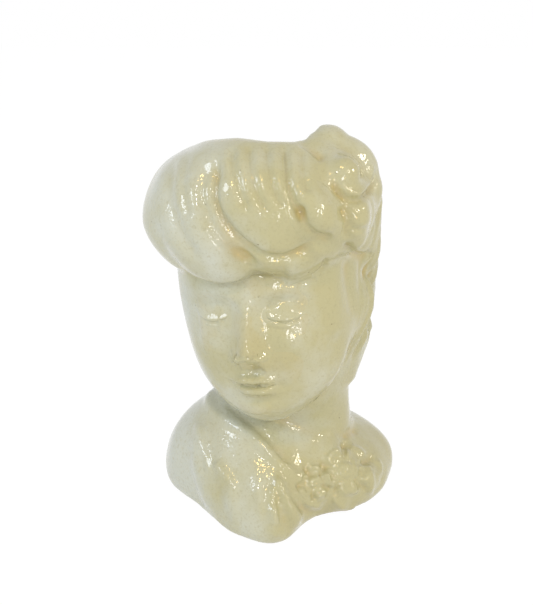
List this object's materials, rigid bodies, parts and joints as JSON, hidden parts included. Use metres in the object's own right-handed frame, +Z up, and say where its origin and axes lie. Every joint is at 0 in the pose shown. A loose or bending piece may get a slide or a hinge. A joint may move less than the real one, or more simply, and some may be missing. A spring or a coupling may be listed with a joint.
{
  "type": "head planter",
  "caption": "Glazed earthenware planter in the shape of a lady's head and draped shoulders, hollow and open at the top of the rolled hair, with applied curls and a corsage.",
  "frame": {"origin": "On the table, in the middle of the foot's outline.", "axes": "+Z up, -Y to the front of the bust (the corsage side), +X to the viewer's right."},
  "size_m": [0.1049, 0.0888, 0.1601],
  "materials": {
    "glazed_earthenware": "glossy cream lead-type glaze over pale earthenware, amber where it pools, finely crazed"
  },
  "bodies": {
    "root": {"head_and_bust_shell": "glazed_earthenware", "crest_curl": "glazed_earthenware", "round_curl": "glazed_earthenware", "temple_curl": "glazed_earthenware", "side_lock": "glazed_earthenware", "ear_curl": "glazed_earthenware", "corsage_flower_large": "glazed_earthenware", "corsage_flower_small": "glazed_earthenware", "corsage_leaf_right": "glazed_earthenware", "corsage_leaf_low": "glazed_earthenware", "corsage_leaf_top": "glazed_earthenware"}
  },
  "joints": []
}
